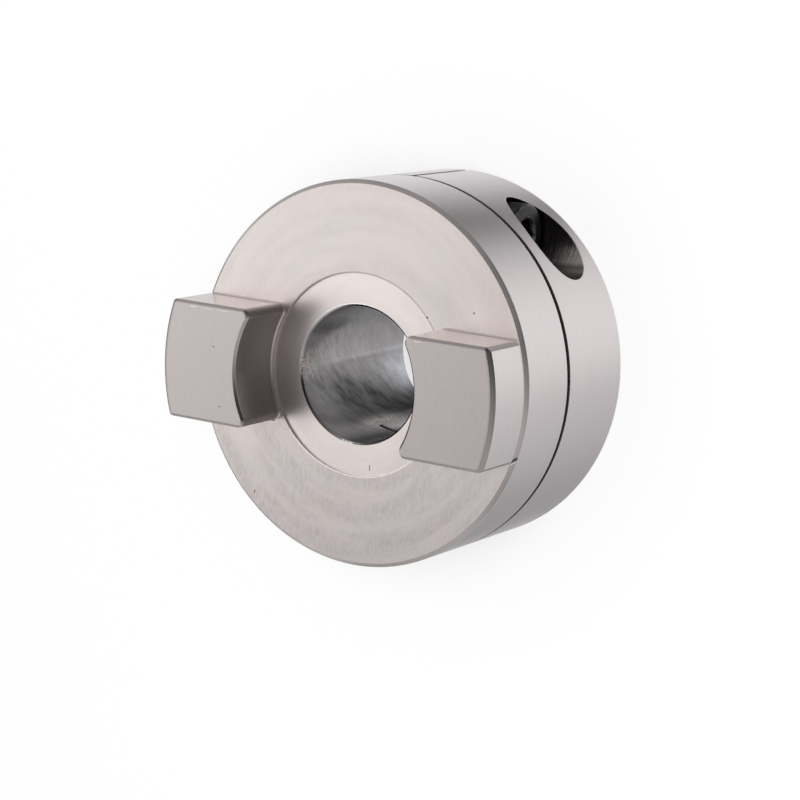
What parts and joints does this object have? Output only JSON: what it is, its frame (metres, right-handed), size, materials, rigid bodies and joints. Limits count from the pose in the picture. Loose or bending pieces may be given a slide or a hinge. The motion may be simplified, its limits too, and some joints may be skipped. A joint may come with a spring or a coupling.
{
  "type": "shaft coupling hub",
  "caption": "Clamping hub of a cross-slider flexible shaft coupling: a bored aluminium ring, slit at its back end, with drive tenons on its face and a recessed socket-head clamp screw.",
  "frame": {"origin": "on the bore's axis, in the plane of the back face that the hub stands on", "axes": "+Z along the bore's axis from the back face to the drive tenons, +X along the tenons and away from the clamp screw's head, -Y towards the clamp slit and its screw"},
  "size_m": [0.0508, 0.0508, 0.0337],
  "materials": {
    "hub_aluminium": "satin, fine turned and sawn surfaces",
    "screw_steel": "black oxide, knurled head"
  },
  "bodies": {
    "hub": {"hub": "hub_aluminium"},
    "clamp_screw": {"clamp_screw": "screw_steel"}
  },
  "joints": [
    {"name": "clamp_screw_turn", "type": "hinge", "parent": "hub", "child": "clamp_screw", "pos_m": [0, -0.01835, 0.00715], "axis": [-1, 0, 0], "range_deg": [0, 180]}
  ]
}
